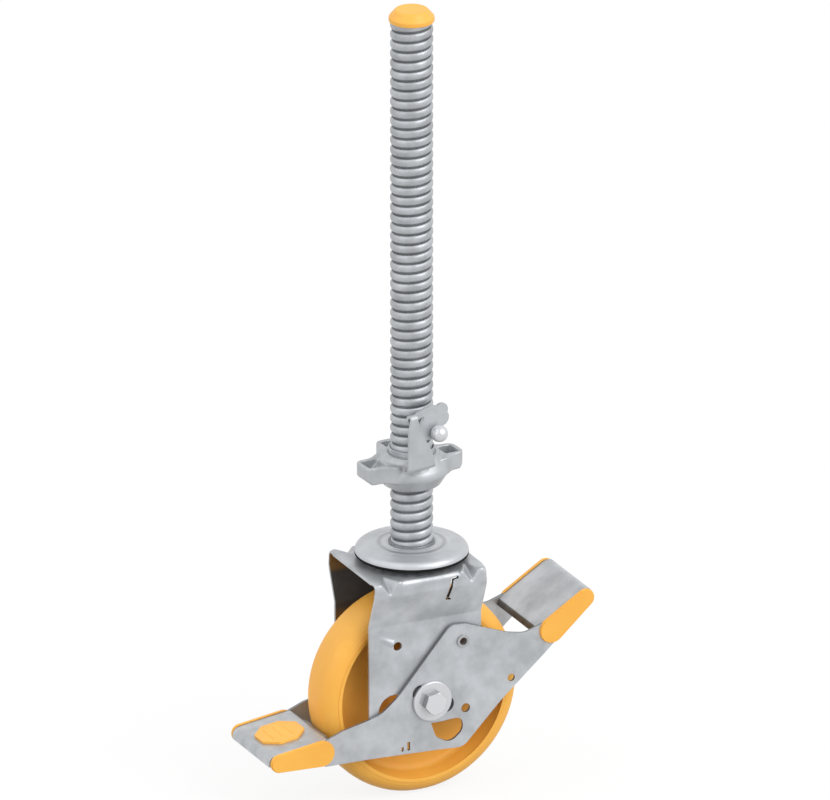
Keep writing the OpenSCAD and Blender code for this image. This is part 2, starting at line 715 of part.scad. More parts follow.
// A wing is a box open at the top. Its floor slopes up to the bowl, and its root flares into it.
module wing(reach) {
    z0 = 9;
    y = wing_w / 2;
    difference() {
        translate([0, 0, z0]) linear_extrude(wing_h)
            polygon(rounded([[19, -y - 8], [24.5, -y - 8], [35, -y], [reach, -y], [reach, y], [35, y], [24.5, y + 8],
                             [19, y + 8]], [0, 3, 14, 7.5, 7.5, 14, 3, 0]));
        translate([0, y - wing_wall, z0]) rotate([90, 0, 0]) linear_extrude(wing_w - 2 * wing_wall)
            polygon([[29, wing_h + 1], [reach - wing_wall, wing_h + 1], [reach - wing_wall, wing_wall],
                     [40, wing_wall], [31.5, wing_h - 5]]);
        translate([reach, 0, z0]) rotate([0, 45, 0]) cube([7, 60, 7], center = true);
    }
}
lug_r = catch_hinge_d / 2 + 1.5;
pin_r = catch_out - catch_t - face_gap - lug_r;
pin_z = 28.5;
catch_a0 = -30.9;
catch_mid = catch_a0 + catch_w / 2;

module wing_nut() {
    bore = insert_d / 2 + run_fit;
    color(zinc) at_nut() difference() {
        union() {
            rotate_extrude() bowl_section();
            for (a = [0, 90, 180]) rotate([0, 0, a]) wing(a == 180 ? wing_reach : short_reach);
            // lug for the catch
            rotate([0, 0, catch_turn]) translate([catch_mid, 0, 0]) rotate([90, 0, 90])
                linear_extrude(catch_w - 12, center = true) {
                    translate([-pin_r, pin_z]) circle(r = lug_r);
                    polygon([[-pin_r - 1, pin_z - 1], [-pin_r + 3, pin_z + 2.5], [-22.5, pin_z + 2.5], [-22.5, 20], [-28, 22]]);
                }
        }
        translate([0, 0, -1]) cylinder(r = bore, h = nut_h + 2);
        rotate([0, 0, catch_turn]) translate([catch_mid - 30, -pin_r, pin_z]) rotate([0, 90, 0])
            cylinder(r = catch_hinge_d / 2 + run_fit, h = 60);
    }
}

// Catch lever: a tapered plate, folded back at its neck into an arm with a thumb lobe.
module lever_sheet(out, t) {
    translate([0, -out + t, 0]) rotate([90, 0, 0]) linear_extrude(t) children();
}
module catch_lever() {
    foot = 25;
    neck = 79;
    lobe_r = 7;
    ear_r = catch_hinge_d / 2 + 0.8;
    color(zinc) at_catch() difference() {
        union() {
            lever_sheet(catch_out, catch_t)
                polygon(rounded([[catch_a0, foot], [catch_a0 + catch_w, foot], [-5, 42], [-16.5, 61],
                                 [-20.5, neck - fold_r], [-27.5, neck - fold_r], [-29.8, 64]], [1.5, 1.5, 10, 14, 0, 0, 30]));
            // the fold at the top of the neck
            translate([-27.5, -catch_out + fold_r, neck - fold_r]) rotate([0, 90, 0]) difference() {
                cylinder(r = fold_r, h = 7);
                translate([0, 0, -1]) cylinder(r = fold_r - catch_t, h = 10);
                translate([0, -10, -1]) cube([20, 20, 10]);
            }
            lever_sheet(arm_out, catch_t) difference() {
                union() {
                    polygon(rounded([[-27.5, neck - fold_r], [-27.5, 71], [-19.5, 71], [-8, 75], [-13.8, 66], [-13.8, 52], [6, 49],
                                     [10.5, 56], [10, 66], [12, 70], [8.5, 80.5], [-5, 82], [-14.5, 79.8],
                                     [-20.5, neck - fold_r]],
                                    [0, 3, 3, 1.2, 12, 4, 5, 5, 3, 1, 6, 12, 8, 0]));
                    translate([11.4, 67.5]) circle(r = lobe_r);
                    translate([10.2, 75]) circle(r = lobe_r);
                }
                translate([catch_ball_x, catch_ball_z]) circle(r = catch_pin_d / 2 + run_fit);
            }
            // ears that turn in to the hinge pin
            for (x = [catch_a0, catch_a0 + catch_w - catch_t])
                translate([x, 0, 0]) rotate([90, 0, 90]) linear_extrude(catch_t)
                    polygon(rounded([[-catch_out + catch_t - eps, pin_z - ear_r], [-pin_r + ear_r, pin_z - ear_r],
                                     [-pin_r + ear_r, pin_z + ear_r], [-catch_out + catch_t - eps, pin_z + 8]],
                                    [0, ear_r - 0.1, ear_r - 0.1, 0]));
        }
        translate([catch_a0 - 5, -pin_r, pin_z]) rotate([0, 90, 0]) cylinder(r = catch_hinge_d / 2 + run_fit, h = catch_w + 10);
        // the foot turns in under the lever
        translate([catch_a0 - 1, -catch_out, foot]) rotate([90, 0, 90]) linear_extrude(catch_w + 2)
            polygon([[-1, -1], [catch_t - 0.6, -1], [catch_t - 0.6, 0], [0.6, 2.4], [0, 3.6], [-1, 3.6]]);
    }
}
catch_ball_x = 2.7;
catch_ball_z = 56.8;
fold_r = 4;
arm_out = catch_out - 2 * fold_r + catch_t;

module catch_hinge_pin() {
    head_t = 0.8;
    color(steel) at_catch() translate([catch_a0 - head_t, -pin_r, pin_z]) rotate([0, 90, 0]) {
        cylinder(d = catch_hinge_d, h = catch_w + 2 * head_t);
        for (x = [0, catch_w + head_t]) translate([0, 0, x]) cylinder(d = catch_hinge_d + 1.2, h = head_t);
    }
}
module catch_pin() {
    tip = spindle_d / 2 + 2.5;
    ball_r = catch_ball_d / 2;
    ball_y = -arm_out - sqrt(pow(ball_r, 2) - pow(catch_pin_d / 2, 2)) - run_fit;
    color(steel) at_catch() translate([catch_ball_x, 0, catch_ball_z]) {
        translate([0, ball_y, 0]) sphere(r = ball_r, $fn = 64);
        along_y(catch_pin_d / 2, ball_y, -tip);
    }
}

spindle_tube();
end_cap();
foot_weld();
swivel_disc();
kingpin();
kingpin_nut();
upper_balls();
lower_balls();
lower_race();
fork();
pivot_rivets();
pivot_spacers();
axle_bolt();
axle_nut();
shoulder_washers();
axle_sleeve();
wheel();
hub_bushes();
brake_plate_near();
brake_plate_far();
stop_pedal();
release_pedal();
stop_pedal_caps();
release_pedal_caps();
stop_badge();
brake_shoe();
thread_insert();
wing_nut();
catch_lever();
catch_hinge_pin();
catch_pin();
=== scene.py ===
import json
import math

import bpy
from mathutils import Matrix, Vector

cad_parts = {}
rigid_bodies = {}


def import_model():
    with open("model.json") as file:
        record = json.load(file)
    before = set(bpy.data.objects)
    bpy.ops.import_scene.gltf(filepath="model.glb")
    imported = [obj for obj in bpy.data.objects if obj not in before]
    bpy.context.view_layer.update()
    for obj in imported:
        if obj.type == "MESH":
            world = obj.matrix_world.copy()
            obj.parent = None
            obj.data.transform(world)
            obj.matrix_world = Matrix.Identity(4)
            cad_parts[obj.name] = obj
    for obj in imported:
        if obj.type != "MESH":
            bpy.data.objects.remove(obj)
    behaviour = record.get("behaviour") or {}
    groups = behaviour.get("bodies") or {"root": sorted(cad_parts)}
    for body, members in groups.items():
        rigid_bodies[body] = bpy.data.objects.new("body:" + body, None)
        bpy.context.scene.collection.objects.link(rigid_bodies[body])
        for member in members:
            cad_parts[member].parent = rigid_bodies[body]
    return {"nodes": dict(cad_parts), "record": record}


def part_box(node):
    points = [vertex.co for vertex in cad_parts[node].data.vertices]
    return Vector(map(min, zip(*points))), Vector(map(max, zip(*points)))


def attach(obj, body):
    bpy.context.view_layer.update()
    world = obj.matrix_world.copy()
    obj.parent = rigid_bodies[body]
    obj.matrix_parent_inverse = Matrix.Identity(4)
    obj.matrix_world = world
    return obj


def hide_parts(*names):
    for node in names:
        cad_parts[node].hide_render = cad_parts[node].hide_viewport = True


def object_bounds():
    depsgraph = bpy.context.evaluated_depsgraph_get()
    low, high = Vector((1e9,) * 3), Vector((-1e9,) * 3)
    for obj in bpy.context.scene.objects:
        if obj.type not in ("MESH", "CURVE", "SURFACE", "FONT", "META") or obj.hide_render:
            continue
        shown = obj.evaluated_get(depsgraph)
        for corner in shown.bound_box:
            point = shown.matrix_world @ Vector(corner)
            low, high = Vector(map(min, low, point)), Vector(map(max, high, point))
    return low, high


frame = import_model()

bl_info = {
    "name": "Scaffold Castor",
    "version": (1, 0, 0),
    "blender": (4, 5, 0),
    "location": "View3D > Sidebar > Castor",
    "description": "Builds the thread, the rounded pressings and castings, the finishes and the stage",
    "category": "Object",
}

MM = 0.001
FULL_TURN = 2 * math.pi
CAD_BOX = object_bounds()
BODY_OF = {node: body for body, nodes in frame["record"]["behaviour"]["bodies"].items() for node in nodes}
SLOT_OF = {row["node"]: row["material_slot"] for row in frame["record"]["subparts"]}

AXLE = Vector((0, 0, -138)) * MM
ALONG_AXLE = Vector((0, 1, 0))

# Points of a mesh that lie closer than this are merged
SAME_POINT = 0.005 * MM

# Thread: steps over half a crest and its half width as shares of the pitch, how square a crest is
# (2 is round), and how far the thread reaches down into the weld
CREST_HALF = 0.405
CREST_STEPS = (0.1, 0.2, 0.28, 0.34, 0.38, 0.4, CREST_HALF)
CREST_SQUARENESS = 2.3
STEPS_IN_A_TURN = 60
THREAD_SINK = 0.6 * MM

# Flare beside the hole in a leg: its ends from the axle, and how deep its middle line lies in the sheet
LEG_FACE = 37 * MM
FLARE_TIP = Vector((-49.5, 0, 65.9)) * MM
FLARE_ROOT = Vector((-35.6, 0, 58)) * MM
FLARE_TIP_RADIUS = 2.8 * MM
FLARE_ROOT_RADIUS = 4.4 * MM
FLARE_SINK = 2.6 * MM

# Lanced slot in a leg, and the skin round it that keeps its crisp edges
SLOT_X = (12 * MM, 23 * MM)
SLOT_Z = (-44.5 * MM, -20 * MM)
CRISP_X = (11 * MM, 24 * MM)
CRISP_Z = (-46 * MM, -18 * MM)

# Skin of the fork that is softened. Drops are measured down from the top of the fork.
DART_IN = 15 * MM
DART_HALF = 11.5 * MM
DART_DROP = 20 * MM
DART_REACH = 24 * MM
BEND_REACH = 10 * MM
BEND_GAP_X = (8 * MM, 26 * MM)
FLARE_X = (-52 * MM, -36.5 * MM)
FLARE_DROP = (50 * MM, 72 * MM)
FLARE_SHARE = 0.3

# Zinc: how fine its patterns are, where its clouds begin and end, and how metallic it is
CLOUDS = 38
CRYSTALS = 150
DIMPLES = 90
GRAIN = 700
CLOUD_EDGES = (0.35, 0.68)
ZINC_METAL = 0.6

# Stage: the floor, the level of the room for the light and for what is seen, and the lamps with their
# strength, spread in degrees and turn in degrees
FLOOR_SIZE = 16
FLOOR_DROP = 0.4 * MM
FLOOR_GLOW = 0.86
ROOM_LIGHT = 0.8
ROOM_SEEN = 1.0
LAMPS = (
    ("key", 1.5, 52, (54, 0, 30)),
    ("fill", 0.6, 70, (58, 0, -84)),
)

# Camera: its turn round the castor and its tilt, its lens and sensor in mm, the width of the view,
# and the middle of the view from the axle
CAMERA_TURN = math.radians(25.2)
CAMERA_TILT = math.radians(21.15)
CAMERA_LENS = 1500
CAMERA_SENSOR = 36
VIEW_WIDTH = 739.8 * MM
VIEW_ACROSS = 3 * MM
VIEW_UP = 253.7 * MM


# Sizes and colours

class CastorSizes(bpy.types.PropertyGroup):
    pitch: bpy.props.FloatProperty(
        name="Pitch", description="Rise of the spindle thread in one turn",
        default=9.1 * MM, subtype="DISTANCE", unit="LENGTH")
    crest: bpy.props.FloatProperty(
        name="Crest radius", description="Radius of the spindle over its crests",
        default=19.2 * MM, subtype="DISTANCE", unit="LENGTH")
    depth: bpy.props.FloatProperty(
        name="Thread depth", description="Depth of the spindle thread",
        default=2.4 * MM, subtype="DISTANCE", unit="LENGTH")
    sheet_edge: bpy.props.FloatProperty(
        name="Sheet edge", description="Rounding of the blanked edges of the pressings",
        default=0.45 * MM, subtype="DISTANCE", unit="LENGTH")
    bolt_edge: bpy.props.FloatProperty(
        name="Bolt edge", description="Rounding of the edges of the bolt, its nut, washers and rivets",
        default=0.35 * MM, subtype="DISTANCE", unit="LENGTH")
    moulded_edge: bpy.props.FloatProperty(
        name="Moulded edge", description="Rounding of the edges of the plastic guards",
        default=0.7 * MM, subtype="DISTANCE", unit="LENGTH")
    cast_grain: bpy.props.FloatProperty(
        name="Cast grain", description="Fineness of the mesh in which the edges of the casting are softened",
        default=0.8 * MM, subtype="DISTANCE", unit="LENGTH")
    sheet_grain: bpy.props.FloatProperty(
        name="Sheet grain", description="Fineness of the mesh in which the bends of the fork are softened",
        default=0.5 * MM, subtype="DISTANCE", unit="LENGTH")
    bend_passes: bpy.props.IntProperty(
        name="Bend softening", description="Passes of smoothing over the bends and darts of the fork",
        default=90)


def colour(name, about, value):
    return bpy.props.FloatVectorProperty(
        name=name, description=about, default=value, size=3, min=0, max=1, subtype="COLOR")


class CastorColours(bpy.types.PropertyGroup):
    zinc: colour("Zinc", "Hot-dipped zinc on the pressings", (0.56, 0.578, 0.602))
    zinc_dull: colour("Dull zinc", "Darker clouds in the zinc", (0.405, 0.42, 0.438))
    cast_zinc: colour("Cast zinc", "Zinc on the nut and the catch", (0.51, 0.527, 0.545))
    plated: colour("Plated", "Bright plating on the bolt, washers and ball", (0.66, 0.67, 0.69))
    bare_steel: colour("Bare steel", "Plain steel inside the swivel and the axle", (0.42, 0.43, 0.44))
    orange: colour("Orange", "Moulded tread, guards and end cap", (0.985, 0.505, 0.08))
    orange_shade: colour("Orange shade", "Deeper patches in the orange", (0.95, 0.465, 0.068))
    bush: colour("Bush", "Plain bearing plastic", (0.72, 0.70, 0.62))
    # Painted shade: the dark tone painted down in the roots of the spindle thread
    painted_hollow_shade: colour("Grease", "Greasy zinc in the roots of the thread", (0.12, 0.124, 0.13))
    # Painted shade: the near-black tone painted between the legs of the fork, on the walls of its lanced
    # slots, in the groove of the swivel disc, under the disc's rim and on the pedal lips that face the tread
    painted_deep_shade: colour("Grime", "Dirt and grease between the legs of the fork", (0.05, 0.048, 0.045))
    # Painted reflection: the brown-orange light that the orange wheel throws onto the inner faces of the fork
    painted_bounce: colour("Tread dust", "Worn tread in the dirt on the inner faces of the fork", (0.2, 0.105, 0.022))
    floor: colour("Floor", "Floor and backdrop", (0.93, 0.93, 0.93))
    floor_bounce: colour("Floor bounce", "Light that the floor throws back on the castor", (0.35, 0.35, 0.35))


class CastorSettings(bpy.types.PropertyGroup):
    sizes: bpy.props.PointerProperty(type=CastorSizes)
    colours: bpy.props.PointerProperty(type=CastorColours)


def settings():
    return bpy.context.scene.castor


# Hand work on meshes

def put_down():
    """Leaves edit mode, with nothing selected."""
    if bpy.context.object and bpy.context.object.mode != "OBJECT":
        bpy.ops.object.mode_set(mode="OBJECT")
    bpy.ops.object.select_all(action="DESELECT")


def take(piece):
    """Makes a piece the one that the next tool works on."""
    put_down()
    piece.select_set(True)
    bpy.context.view_layer.objects.active = piece


def edit_all(piece):
    """Opens a piece with its whole mesh selected."""
    take(piece)
    bpy.ops.object.mode_set(mode="EDIT")
    bpy.ops.mesh.select_mode(type="VERT")
    bpy.ops.mesh.select_all(action="SELECT")


def close_edit():
    bpy.ops.object.mode_set(mode="OBJECT")


def settle():
    """Puts a piece's place, turn and scale into its mesh."""
    bpy.ops.object.transform_apply(location=True, rotation=True, scale=True)


def apply_modifier(piece, kind, **values):
    take(piece)
    modifier = piece.modifiers.new(kind.title(), kind)
    for key, value in values.items():
        setattr(modifier, key, value)
    bpy.ops.object.modifier_apply(modifier=modifier.name)


def smooth(piece, degrees):
    """Shades smoothly over edges up to this angle."""
    take(piece)
    bpy.ops.object.shade_smooth_by_angle(angle=math.radians(degrees))


def drawn_line(name, points):
    """Draws a line vertex by vertex, by extruding the last one, from the first point on."""
    put_down()
    bpy.ops.mesh.primitive_plane_add(size=MM, location=points[0])
    line = bpy.context.object
    line.name = name
    bpy.ops.object.mode_set(mode="EDIT")
    bpy.ops.mesh.select_all(action="SELECT")
    bpy.ops.mesh.merge(type="CENTER")
    for here, after in zip(points, points[1:]):
        step = Vector(after) - Vector(here)
        bpy.ops.mesh.extrude_region_move(TRANSFORM_OT_translate={"value": step})
    close_edit()
    settle()
    return line


def plain_copy(node):
    """A copy of a solid, free of its body."""
    take(frame["nodes"][node])
    bpy.ops.object.duplicate()
    piece = bpy.context.object
    bpy.ops.object.parent_clear(type="CLEAR_KEEP_TRANSFORM")
    settle()
    for key in list(piece.keys()):
        del piece[key]
    return piece


def rounded_copy(node, width, degrees):
    """A copy of a solid, with its edges that are sharper than this angle rounded over."""
    piece = plain_copy(node)
    edit_all(piece)
    bpy.ops.mesh.remove_doubles(threshold=SAME_POINT)
    bpy.ops.mesh.dissolve_limited(angle_limit=math.radians(0.5))
    bpy.ops.mesh.select_all(action="DESELECT")
    close_edit()
    apply_modifier(piece, "BEVEL", width=width, segments=2, limit_method="ANGLE",
                   angle_limit=math.radians(degrees), use_clamp_overlap=True, loop_slide=True)
    smooth(piece, 40)
    apply_modifier(piece, "WEIGHTED_NORMAL", keep_sharp=True)
    return piece


def soften(piece, passes, factor=0.5, group=""):
    apply_modifier(piece, "SMOOTH", factor=factor, iterations=passes, vertex_group=group)


def dress(piece, name, node, finish):
    """Names a finished piece, and lets it stand for a solid on the solid's own body and slot."""
    piece.name = name
    piece.data.name = name
    piece.data.materials.clear()
    piece.data.materials.append(FINISHES[finish])
    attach(piece, BODY_OF[node])
    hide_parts(node)


def round_over(nodes, ending, width, degrees):
    """Rounds the edges of some solids and dresses the rounded copies."""
    for node in nodes:
        dress(rounded_copy(node, width, degrees), node + ending, node, FINISH_OF.get(node, SLOT_OF[node]))


# Finishes

class Finish:
    """A material under construction, read on the piece's own coordinates."""

    def __init__(self, name, metallic=0.0, roughness=0.5):
        self.material = bpy.data.materials.new(name)
        self.material.use_nodes = True
        self.tree = self.material.node_tree
        self.shader = self.tree.nodes["Principled BSDF"]
        self.shader.inputs["Metallic"].default_value = metallic
        self.shader.inputs["Roughness"].default_value = roughness
        coordinates = self.add("ShaderNodeTexCoord")
        self.place = coordinates.outputs["Object"]
        self.facing = coordinates.outputs["Normal"]

    def add(self, kind, **values):
        node = self.tree.nodes.new(kind)
        for key, value in values.items():
            setattr(node, key, value)
        return node

    def join(self, start, end):
        self.tree.links.new(start, end)

    # Patterns and masks

    def noise(self, scale, detail=3.0):
        node = self.add("ShaderNodeTexNoise")
        node.inputs["Scale"].default_value = scale
        node.inputs["Detail"].default_value = detail
        node.inputs["Roughness"].default_value = 0.55
        self.join(self.place, node.inputs["Vector"])
        return node.outputs["Fac"]

    def cells(self, scale):
        node = self.add("ShaderNodeTexVoronoi")
        node.inputs["Scale"].default_value = scale
        self.join(self.place, node.inputs["Vector"])
        grey = self.add("ShaderNodeRGBToBW")
        self.join(node.outputs["Color"], grey.inputs["Color"])
        return grey.outputs["Val"]

    def span(self, value, low, high, out_low=0.0, out_high=1.0):
        """A value that goes from low to high, spread between two others and held past them."""
        node = self.add("ShaderNodeMapRange")
        limits = {"From Min": low, "From Max": high, "To Min": out_low, "To Max": out_high}
        for key, number in limits.items():
            node.inputs[key].default_value = number
        self.join(value, node.inputs["Value"])
        return node.outputs["Result"]

    def worked(self, operation, value):
        node = self.add("ShaderNodeMath", operation=operation)
        self.join(value, node.inputs[0])
        return node

    def size_of(self, value):
        return self.worked("ABSOLUTE", value).outputs["Value"]

    def product(self, first, second):
        node = self.worked("MULTIPLY", first)
        self.join(second, node.inputs[1])
        return node.outputs["Value"]

    def sum(self, first, second, weight):
        """The first value, and a share of the second."""
        node = self.worked("MULTIPLY_ADD", second)
        node.inputs[1].default_value = weight
        self.join(first, node.inputs[2])
        return node.outputs["Value"]

    def waves(self, value, length):
        """Rises and falls once in each length."""
        turned = self.worked("MULTIPLY", value)
        turned.inputs[1].default_value = FULL_TURN / length
        return self.worked("SINE", turned.outputs["Value"]).outputs["Value"]

    def blend(self, factor, first, second):
        node = self.add("ShaderNodeMix", data_type="RGBA")
        self.join(factor, node.inputs["Factor"])
        for socket, value in ((node.inputs[6], first), (node.inputs[7], second)):
            if isinstance(value, bpy.types.NodeSocket):
                self.join(value, socket)
            else:
                socket.default_value = (*value, 1)
        return node.outputs[2]

    def part_of(self, vector, axis):
        parts = self.add("ShaderNodeSeparateXYZ")
        self.join(vector, parts.inputs["Vector"])
        return parts.outputs[axis]

    def from_spindle(self):
        """Distance from the spindle's axis."""
        flat = self.add("ShaderNodeVectorMath", operation="MULTIPLY")
        self.join(self.place, flat.inputs[0])
        flat.inputs[1].default_value = (1, 1, 0)
        length = self.add("ShaderNodeVectorMath", operation="LENGTH")
        self.join(flat.outputs["Vector"], length.inputs[0])
        return length.outputs["Value"]

    def within(self, axis, low, high, fade=0.8 * MM):
        """1 between two places along an axis, fading out past them."""
        away = self.worked("SUBTRACT", self.part_of(self.place, axis))
        away.inputs[1].default_value = (low + high) / 2
        half = (high - low) / 2
        return self.span(self.size_of(away.outputs["Value"]), half + fade, half)

    def turned_out(self, axis, up_share=0.0):
        """How far a face looks away from the middle plane across an axis, and a share of how far up."""
        side = self.worked("SIGN", self.part_of(self.place, axis)).outputs["Value"]
        outward = self.product(side, self.part_of(self.facing, axis))
        return self.sum(outward, self.part_of(self.facing, "Z"), up_share)

    # What the metal has all over

    def cloudy(self, clouds, dull, light):
        return self.blend(self.span(clouds, *CLOUD_EDGES), dull, light)

    def crystalline(self, clouds, dull, light):
        """Clouds with faint crystals in them."""
        return self.blend(self.sum(self.span(clouds, *CLOUD_EDGES), self.cells(CRYSTALS), 0.16), dull, light)

    def dipped_skin(self, strength=0.05):
        """The fine uneven surface that dipping leaves."""
        self.bump(self.sum(self.noise(DIMPLES), self.noise(GRAIN, detail=2), 0.35), strength, 0.4 * MM)

    def satin(self, clouds, dull=0.44, light=0.3):
        return self.span(clouds, 0.4, 0.7, dull, light)

    def patchy_shade(self, clouds, where, share):
        """A share of a painted shade tone on a place, thinner where the clouds are light."""
        return self.sum(self.span(clouds, 0.2, 0.9, 0, -0.1), where, share)

    def handled(self, least, most):
        """Faint marks of handling, with the least and the most roughness."""
        marks = self.noise(60, detail=1)
        self.rough_by(self.span(marks, 0.35, 0.75, least, most))
        self.bump(marks, 0.01, 0.2 * MM)

    # Sockets of the shader

    def colour_by(self, socket):
        self.join(socket, self.shader.inputs["Base Color"])

    def metal_by(self, socket):
        self.join(socket, self.shader.inputs["Metallic"])

    def rough_by(self, socket):
        self.join(socket, self.shader.inputs["Roughness"])

    def bump(self, height, strength, distance):
        node = self.add("ShaderNodeBump")
        node.inputs["Strength"].default_value = strength
        node.inputs["Distance"].default_value = distance
        self.join(height, node.inputs["Height"])
        self.join(node.outputs["Normal"], self.shader.inputs["Normal"])


def zinc_finish(name, light, dull, cloud=CLOUDS, rough=(0.46, 0.3), grain=0.05):
    """Galvanised steel: soft clouds, faint crystals and a fine uneven skin."""
    f = Finish(name, metallic=ZINC_METAL)
    clouds = f.noise(cloud, detail=4)
    f.colour_by(f.crystalline(clouds, dull, light))
    f.rough_by(f.span(f.sum(clouds, f.noise(GRAIN, detail=2), 0.35), 0.45, 0.85, *rough))
    f.dipped_skin(grain)
    return f.material


def thread_finish(name, light, dull, painted_hollow_shade):
    """The same zinc on the spindle, with painted shade down in the roots of the thread."""
    f = Finish(name, metallic=0.65)
    clouds = f.noise(60, detail=4)
    crest = settings().sizes.crest
    # Painted shade: 1 on the crests, falling to 0 in the roots, where the dark tone is painted
    on_crests = f.span(f.from_spindle(), crest - 2.3 * MM, crest - 1.5 * MM)
    f.colour_by(f.blend(f.sum(on_crests, clouds, 0.25), painted_hollow_shade, f.cloudy(clouds, dull, light)))
    f.rough_by(f.span(on_crests, 0, 1, 0.55, 0.45))
    f.bump(f.sum(clouds, f.noise(600, detail=2), 0.3), 0.06, 0.4 * MM)
    return f.material


def fork_finish(name, light, dull, painted_deep_shade, painted_bounce):
    """Galvanised outside, with painted shade between the legs and on the walls of the lanced slots, and
    painted orange wheel light inside.
    """
    f = Finish(name)
    clouds = f.noise(CLOUDS, detail=4)
    # Painted shade: faces that look in between the legs or down, and the walls of the lanced slots, take the
    # dark painted tone
    hollow = f.span(f.turned_out("Y", 0.6), -0.1, -0.3)
    slot = f.product(f.within("X", *SLOT_X), f.within("Z", *SLOT_Z))
    faces_along = f.span(f.size_of(f.part_of(f.facing, "X")), 0.1, 0.3)
    faces_in = f.span(f.turned_out("Y"), 0.75, 0.5)
    inside = f.sum(hollow, f.product(slot, f.sum(faces_along, faces_in, 1.0)), 1.0)
    height = f.part_of(f.place, "Z")
    # Painted reflection: above -37 mm and below -66 mm on the inner faces, the painted shade turns to the
    # wheel's orange light
    bounce_heights = f.sum(f.span(height, -37 * MM, -33 * MM), f.span(height, -66 * MM, -74 * MM), 1.0)
    shade_and_bounce = f.blend(f.product(bounce_heights, hollow), painted_deep_shade, painted_bounce)
    f.colour_by(f.blend(f.patchy_shade(clouds, inside, 1.0), f.crystalline(clouds, dull, light), shade_and_bounce))
    f.metal_by(f.span(inside, 0, 1, ZINC_METAL, 0.15))
    f.rough_by(f.sum(f.satin(clouds), inside, 0.25))
    f.dipped_skin()
    return f.material


def plate_finish(name, light, dull, edge_shade):
    """Galvanised, with its blanked edges painted darker than its faces, as painted shade for the shadowed gap
    beside the plate.
    """
    f = Finish(name, metallic=ZINC_METAL)
    clouds = f.noise(CLOUDS, detail=4)
    # Painted shade: edge faces take the dark edge tone, drawing a shadow line along the plate
    not_outer = f.span(f.turned_out("Y"), 0.85, 0.5)
    inner = f.span(f.turned_out("Y"), -0.5, -0.85)
    edge = f.sum(not_outer, inner, -1.0)
    f.colour_by(f.blend(edge, f.crystalline(clouds, dull, light), edge_shade))
    f.rough_by(f.satin(clouds, dull=0.46, light=0.32))
    f.dipped_skin()
    return f.material


def pedal_finish(name, light, dull, painted_deep_shade):
    """Galvanised, with painted shade on the lips and under sides that look at the tread."""
    f = Finish(name, metallic=ZINC_METAL)
    clouds = f.noise(CLOUDS, detail=4)
    # Painted shade: faces that look towards the tread and down take the dark painted tone
    shaded_side = f.span(f.turned_out("X", 0.5), -0.2, -0.5)
    f.colour_by(f.blend(f.patchy_shade(clouds, shaded_side, 0.85), f.crystalline(clouds, dull, light), painted_deep_shade))
    f.rough_by(f.sum(f.satin(clouds), shaded_side, 0.2))
    f.dipped_skin()
    return f.material


def disc_finish(name, light, dull, painted_deep_shade):
    """Pressed zinc with faint rings and a groove round the spindle, painted shade in the groove, and a
    painted black shadow line under the rim.
    """
    f = Finish(name, metallic=ZINC_METAL)
    clouds = f.noise(45, detail=4)
    radius = f.from_spindle()
    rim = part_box("swivel_disc")[0].z
    # Painted shadow: the lowest 2.6 mm of the rim is painted near black, for the shadowed gap between the
    # disc and the fork
    under_rim = f.within("Z", rim - 1 * MM, rim + 2.6 * MM, fade=0.3 * MM)
    groove = f.product(f.span(radius, 26 * MM, 29 * MM), f.span(radius, 32 * MM, 29 * MM))
    rings = f.product(f.waves(radius, 7.5 * MM), f.span(radius, 40 * MM, 30 * MM))
    # Painted shade: the groove takes up to 0.3 of the dark painted tone
    tone = f.blend(f.span(groove, 0, 1, 0, 0.3), f.cloudy(clouds, dull, light), painted_deep_shade)
    f.colour_by(f.blend(under_rim, tone, darker(painted_deep_shade, 0.2)))
    f.rough_by(f.sum(f.satin(clouds), under_rim, 0.4))
    f.bump(f.sum(f.sum(rings, clouds, 0.5), groove, -2.0), 0.4, 0.6 * MM)
    return f.material


def plated_finish(name, tone, rough=(0.24, 0.34)):
    """Bright zinc plating with faint handling marks."""
    f = Finish(name, metallic=0.55)
    f.colour_by(f.blend(f.span(f.noise(40), 0.3, 0.7), darker(tone, 0.93), tone))
    f.handled(*rough)
    return f.material


def bolt_finish(name, face, shaded_flats):
    """Bright plating, with painted shade on the sides of the hexagon and its end faces left bright."""
    f = Finish(name, metallic=0.5)
    # Painted shade: faces that look outward along the axle keep the bright tone, the others take the darker
    # copy
    f.colour_by(f.blend(f.span(f.turned_out("Y"), 0.3, 0.9), shaded_flats, face))
    f.handled(0.34, 0.42)
    return f.material


def moulded_finish(name, tone, shade, gloss=(0.36, 0.5)):
    """A moulding: a hardly mottled satin skin with fine pores."""
    f = Finish(name)
    clouds = f.noise(26, detail=2)
    pores = f.noise(1100, detail=2)
    f.colour_by(f.blend(f.span(clouds, 0.35, 0.65), shade, tone))
    f.rough_by(f.span(f.sum(clouds, pores, 0.4), 0.4, 0.9, *gloss))
    f.bump(f.sum(pores, f.noise(160), 0.5), 0.05, 0.25 * MM)
    return f.material


def darker(tone, share):
    return [value * share for value in tone]


